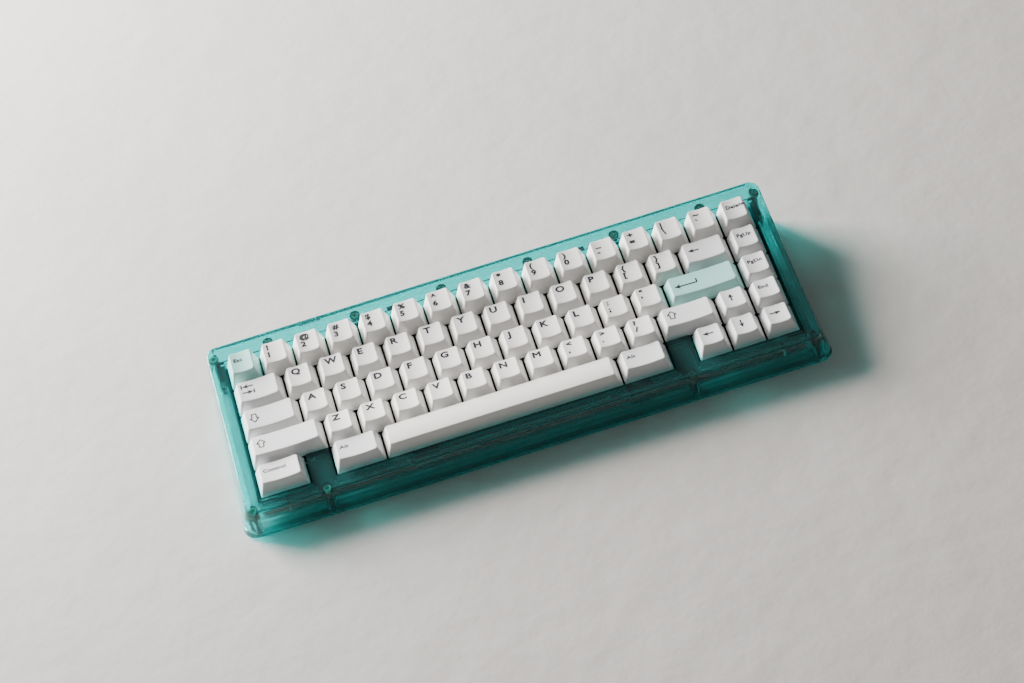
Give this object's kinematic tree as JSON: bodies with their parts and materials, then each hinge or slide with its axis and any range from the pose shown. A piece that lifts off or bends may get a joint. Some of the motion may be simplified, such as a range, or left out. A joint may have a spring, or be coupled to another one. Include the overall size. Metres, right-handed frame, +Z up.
{
  "type": "mechanical keyboard",
  "caption": "Compact mechanical keyboard: sculpted two-tone keycaps on sprung plunging switches in a translucent teal wedge case with a flared skirt.",
  "frame": {"origin": "on the table, under the middle of the bounding box, at the underside of the rubber feet", "axes": "+X to the typist's right along the rows of keys, +Y away from the typist towards the USB inlet, +Z up"},
  "size_m": [0.3332, 0.1202, 0.0387],
  "materials": {
    "mint_cap": "satin moulded plastic, fine texture",
    "grey_cap": "satin moulded plastic, fine texture",
    "cream_cap": "satin moulded plastic, fine texture",
    "case_shell": "translucent teal moulded plastic, soft gloss",
    "case_tray": "translucent teal moulded plastic, soft gloss",
    "plate": "black anodised sheet",
    "board": "black solder mask",
    "components": "moulded black plastic",
    "housing": "moulded dark plastic",
    "spring": "drawn steel wire",
    "contact": "stamped leaf",
    "gasket": "closed-cell foam",
    "insert": "turned insert",
    "screw": "dark plated machine screw",
    "foot": "moulded rubber",
    "connector": "stamped steel shell",
    "cable": "flat ribbon cable",
    "wire": "bent steel wire"
  },
  "bodies": {
    "case": {"top_case": "case_shell", "bottom_case": "case_tray", "switch_plate": "plate", "circuit_board": "board", "board_components": "components", "switch_lower_housings": "housing", "switch_upper_housings": "housing", "switch_springs": "spring", "switch_contacts": "contact", "stabilizer_housings": "housing", "gasket_strips": "gasket", "threaded_inserts": "insert", "case_screws": "screw", "rubber_feet": "foot", "usb_daughterboard": "board", "usb_connector": "connector", "ribbon_cable": "cable"},
    "key_a": {"key_a": "cream_cap"},
    "key_b": {"key_b": "cream_cap"},
    "key_backspace": {"key_backspace": "grey_cap"},
    "key_c": {"key_c": "cream_cap"},
    "key_caps_lock": {"key_caps_lock": "grey_cap"},
    "key_d": {"key_d": "cream_cap"},
    "key_e": {"key_e": "cream_cap"},
    "key_enter": {"key_enter": "mint_cap"},
    "key_escape": {"key_escape": "mint_cap"},
    "key_f": {"key_f": "cream_cap"},
    "key_g": {"key_g": "cream_cap"},
    "key_h": {"key_h": "cream_cap"},
    "key_i": {"key_i": "cream_cap"},
    "key_j": {"key_j": "cream_cap"},
    "key_k": {"key_k": "cream_cap"},
    "key_l": {"key_l": "cream_cap"},
    "key_left_alt": {"key_left_alt": "grey_cap"},
    "key_left_control": {"key_left_control": "grey_cap"},
    "key_left_shift": {"key_left_shift": "grey_cap"},
    "key_m": {"key_m": "cream_cap"},
    "key_n": {"key_n": "cream_cap"},
    "key_o": {"key_o": "cream_cap"},
    "key_p": {"key_p": "cream_cap"},
    "key_q": {"key_q": "cream_cap"},
    "key_r": {"key_r": "cream_cap"},
    "key_right_alt": {"key_right_alt": "grey_cap"},
    "key_right_shift": {"key_right_shift": "grey_cap"},
    "key_s": {"key_s": "cream_cap"},
    "key_space": {"key_space": "cream_cap"},
    "key_t": {"key_t": "cream_cap"},
    "key_tab": {"key_tab": "grey_cap"},
    "key_u": {"key_u": "cream_cap"},
    "key_v": {"key_v": "cream_cap"},
    "key_w": {"key_w": "cream_cap"},
    "key_x": {"key_x": "cream_cap"},
    "key_y": {"key_y": "cream_cap"},
    "key_z": {"key_z": "cream_cap"},
    "number_row_keys": {"number_row_keys": "cream_cap"},
    "punctuation_keys": {"punctuation_keys": "cream_cap"},
    "navigation_keys": {"navigation_keys": "grey_cap"},
    "stabilizer_wire_enter": {"stabilizer_wire_enter": "wire"},
    "stabilizer_wire_left_shift": {"stabilizer_wire_left_shift": "wire"},
    "stabilizer_wire_space": {"stabilizer_wire_space": "wire"}
  },
  "joints": [
    {"name": "escape_press", "type": "slide", "parent": "case", "child": "key_escape", "axis": [0, 0.1219, -0.9925], "range_m": [0, 0.0038], "stiffness_N_per_m": 100, "springref_m": -0.004, "deforming": ["switch_springs"]},
    {"name": "enter_press", "type": "slide", "parent": "case", "child": "key_enter", "axis": [0, 0.1219, -0.9925], "range_m": [0, 0.0038], "stiffness_N_per_m": 100, "springref_m": -0.004, "deforming": ["switch_springs"]},
    {"name": "space_press", "type": "slide", "parent": "case", "child": "key_space", "axis": [0, 0.1219, -0.9925], "range_m": [0, 0.0038], "stiffness_N_per_m": 100, "springref_m": -0.004, "deforming": ["switch_springs"]},
    {"name": "tab_press", "type": "slide", "parent": "case", "child": "key_tab", "axis": [0, 0.1219, -0.9925], "range_m": [0, 0.0038], "stiffness_N_per_m": 100, "springref_m": -0.004, "deforming": ["switch_springs"]},
    {"name": "caps_lock_press", "type": "slide", "parent": "case", "child": "key_caps_lock", "axis": [0, 0.1219, -0.9925], "range_m": [0, 0.0038], "stiffness_N_per_m": 100, "springref_m": -0.004, "deforming": ["switch_springs"]},
    {"name": "left_shift_press", "type": "slide", "parent": "case", "child": "key_left_shift", "axis": [0, 0.1219, -0.9925], "range_m": [0, 0.0038], "stiffness_N_per_m": 100, "springref_m": -0.004, "deforming": ["switch_springs"]},
    {"name": "left_control_press", "type": "slide", "parent": "case", "child": "key_left_control", "axis": [0, 0.1219, -0.9925], "range_m": [0, 0.0038], "stiffness_N_per_m": 100, "springref_m": -0.004, "deforming": ["switch_springs"]},
    {"name": "left_alt_press", "type": "slide", "parent": "case", "child": "key_left_alt", "axis": [0, 0.1219, -0.9925], "range_m": [0, 0.0038], "stiffness_N_per_m": 100, "springref_m": -0.004, "deforming": ["switch_springs"]},
    {"name": "right_alt_press", "type": "slide", "parent": "case", "child": "key_right_alt", "axis": [0, 0.1219, -0.9925], "range_m": [0, 0.0038], "stiffness_N_per_m": 100, "springref_m": -0.004, "deforming": ["switch_springs"]},
    {"name": "right_shift_press", "type": "slide", "parent": "case", "child": "key_right_shift", "axis": [0, 0.1219, -0.9925], "range_m": [0, 0.0038], "stiffness_N_per_m": 100, "springref_m": -0.004, "deforming": ["switch_springs"]},
    {"name": "backspace_press", "type": "slide", "parent": "case", "child": "key_backspace", "axis": [0, 0.1219, -0.9925], "range_m": [0, 0.0038], "stiffness_N_per_m": 100, "springref_m": -0.004, "deforming": ["switch_springs"]},
    {"name": "number_row_keys_press", "type": "slide", "parent": "case", "child": "number_row_keys", "axis": [0, 0.1219, -0.9925], "range_m": [0, 0.0038], "stiffness_N_per_m": 1400, "springref_m": -0.004, "deforming": ["switch_springs"]},
    {"name": "punctuation_keys_press", "type": "slide", "parent": "case", "child": "punctuation_keys", "axis": [0, 0.1219, -0.9925], "range_m": [0, 0.0038], "stiffness_N_per_m": 700, "springref_m": -0.004, "deforming": ["switch_springs"]},
    {"name": "navigation_keys_press", "type": "slide", "parent": "case", "child": "navigation_keys", "axis": [0, 0.1219, -0.9925], "range_m": [0, 0.0038], "stiffness_N_per_m": 800, "springref_m": -0.004, "deforming": ["switch_springs"]},
    {"name": "a_press", "type": "slide", "parent": "case", "child": "key_a", "axis": [0, 0.1219, -0.9925], "range_m": [0, 0.0038], "stiffness_N_per_m": 100, "springref_m": -0.004, "deforming": ["switch_springs"]},
    {"name": "b_press", "type": "slide", "parent": "case", "child": "key_b", "axis": [0, 0.1219, -0.9925], "range_m": [0, 0.0038], "stiffness_N_per_m": 100, "springref_m": -0.004, "deforming": ["switch_springs"]},
    {"name": "c_press", "type": "slide", "parent": "case", "child": "key_c", "axis": [0, 0.1219, -0.9925], "range_m": [0, 0.0038], "stiffness_N_per_m": 100, "springref_m": -0.004, "deforming": ["switch_springs"]},
    {"name": "d_press", "type": "slide", "parent": "case", "child": "key_d", "axis": [0, 0.1219, -0.9925], "range_m": [0, 0.0038], "stiffness_N_per_m": 100, "springref_m": -0.004, "deforming": ["switch_springs"]},
    {"name": "e_press", "type": "slide", "parent": "case", "child": "key_e", "axis": [0, 0.1219, -0.9925], "range_m": [0, 0.0038], "stiffness_N_per_m": 100, "springref_m": -0.004, "deforming": ["switch_springs"]},
    {"name": "f_press", "type": "slide", "parent": "case", "child": "key_f", "axis": [0, 0.1219, -0.9925], "range_m": [0, 0.0038], "stiffness_N_per_m": 100, "springref_m": -0.004, "deforming": ["switch_springs"]},
    {"name": "g_press", "type": "slide", "parent": "case", "child": "key_g", "axis": [0, 0.1219, -0.9925], "range_m": [0, 0.0038], "stiffness_N_per_m": 100, "springref_m": -0.004, "deforming": ["switch_springs"]},
    {"name": "h_press", "type": "slide", "parent": "case", "child": "key_h", "axis": [0, 0.1219, -0.9925], "range_m": [0, 0.0038], "stiffness_N_per_m": 100, "springref_m": -0.004, "deforming": ["switch_springs"]},
    {"name": "i_press", "type": "slide", "parent": "case", "child": "key_i", "axis": [0, 0.1219, -0.9925], "range_m": [0, 0.0038], "stiffness_N_per_m": 100, "springref_m": -0.004, "deforming": ["switch_springs"]},
    {"name": "j_press", "type": "slide", "parent": "case", "child": "key_j", "axis": [0, 0.1219, -0.9925], "range_m": [0, 0.0038], "stiffness_N_per_m": 100, "springref_m": -0.004, "deforming": ["switch_springs"]},
    {"name": "k_press", "type": "slide", "parent": "case", "child": "key_k", "axis": [0, 0.1219, -0.9925], "range_m": [0, 0.0038], "stiffness_N_per_m": 100, "springref_m": -0.004, "deforming": ["switch_springs"]},
    {"name": "l_press", "type": "slide", "parent": "case", "child": "key_l", "axis": [0, 0.1219, -0.9925], "range_m": [0, 0.0038], "stiffness_N_per_m": 100, "springref_m": -0.004, "deforming": ["switch_springs"]},
    {"name": "m_press", "type": "slide", "parent": "case", "child": "key_m", "axis": [0, 0.1219, -0.9925], "range_m": [0, 0.0038], "stiffness_N_per_m": 100, "springref_m": -0.004, "deforming": ["switch_springs"]},
    {"name": "n_press", "type": "slide", "parent": "case", "child": "key_n", "axis": [0, 0.1219, -0.9925], "range_m": [0, 0.0038], "stiffness_N_per_m": 100, "springref_m": -0.004, "deforming": ["switch_springs"]},
    {"name": "o_press", "type": "slide", "parent": "case", "child": "key_o", "axis": [0, 0.1219, -0.9925], "range_m": [0, 0.0038], "stiffness_N_per_m": 100, "springref_m": -0.004, "deforming": ["switch_springs"]},
    {"name": "p_press", "type": "slide", "parent": "case", "child": "key_p", "axis": [0, 0.1219, -0.9925], "range_m": [0, 0.0038], "stiffness_N_per_m": 100, "springref_m": -0.004, "deforming": ["switch_springs"]},
    {"name": "q_press", "type": "slide", "parent": "case", "child": "key_q", "axis": [0, 0.1219, -0.9925], "range_m": [0, 0.0038], "stiffness_N_per_m": 100, "springref_m": -0.004, "deforming": ["switch_springs"]},
    {"name": "r_press", "type": "slide", "parent": "case", "child": "key_r", "axis": [0, 0.1219, -0.9925], "range_m": [0, 0.0038], "stiffness_N_per_m": 100, "springref_m": -0.004, "deforming": ["switch_springs"]},
    {"name": "s_press", "type": "slide", "parent": "case", "child": "key_s", "axis": [0, 0.1219, -0.9925], "range_m": [0, 0.0038], "stiffness_N_per_m": 100, "springref_m": -0.004, "deforming": ["switch_springs"]},
    {"name": "t_press", "type": "slide", "parent": "case", "child": "key_t", "axis": [0, 0.1219, -0.9925], "range_m": [0, 0.0038], "stiffness_N_per_m": 100, "springref_m": -0.004, "deforming": ["switch_springs"]},
    {"name": "u_press", "type": "slide", "parent": "case", "child": "key_u", "axis": [0, 0.1219, -0.9925], "range_m": [0, 0.0038], "stiffness_N_per_m": 100, "springref_m": -0.004, "deforming": ["switch_springs"]},
    {"name": "v_press", "type": "slide", "parent": "case", "child": "key_v", "axis": [0, 0.1219, -0.9925], "range_m": [0, 0.0038], "stiffness_N_per_m": 100, "springref_m": -0.004, "deforming": ["switch_springs"]},
    {"name": "w_press", "type": "slide", "parent": "case", "child": "key_w", "axis": [0, 0.1219, -0.9925], "range_m": [0, 0.0038], "stiffness_N_per_m": 100, "springref_m": -0.004, "deforming": ["switch_springs"]},
    {"name": "x_press", "type": "slide", "parent": "case", "child": "key_x", "axis": [0, 0.1219, -0.9925], "range_m": [0, 0.0038], "stiffness_N_per_m": 100, "springref_m": -0.004, "deforming": ["switch_springs"]},
    {"name": "y_press", "type": "slide", "parent": "case", "child": "key_y", "axis": [0, 0.1219, -0.9925], "range_m": [0, 0.0038], "stiffness_N_per_m": 100, "springref_m": -0.004, "deforming": ["switch_springs"]},
    {"name": "z_press", "type": "slide", "parent": "case", "child": "key_z", "axis": [0, 0.1219, -0.9925], "range_m": [0, 0.0038], "stiffness_N_per_m": 100, "springref_m": -0.004, "deforming": ["switch_springs"]},
    {"name": "wire_enter_hinge", "type": "hinge", "parent": "case", "child": "stabilizer_wire_enter", "pos_m": [0.11192, -0.01011, 0.01555], "axis": [-1, 0, 0], "range_deg": [0, 24.3]},
    {"name": "wire_left_shift_hinge", "type": "hinge", "parent": "case", "child": "stabilizer_wire_left_shift", "pos_m": [-0.13097, -0.02902, 0.01323], "axis": [-1, 0, 0], "range_deg": [0, 24.3]},
    {"name": "wire_space_hinge", "type": "hinge", "parent": "case", "child": "stabilizer_wire_space", "pos_m": [-0.01429, -0.04793, 0.0109], "axis": [-1, 0, 0], "range_deg": [0, 24.3]}
  ],
  "couplings": [
    {"joint": "wire_enter_hinge", "follows": "enter_press", "rad_per_m": 111.11},
    {"joint": "wire_left_shift_hinge", "follows": "left_shift_press", "rad_per_m": 111.11},
    {"joint": "wire_space_hinge", "follows": "space_press", "rad_per_m": 111.11}
  ]
}
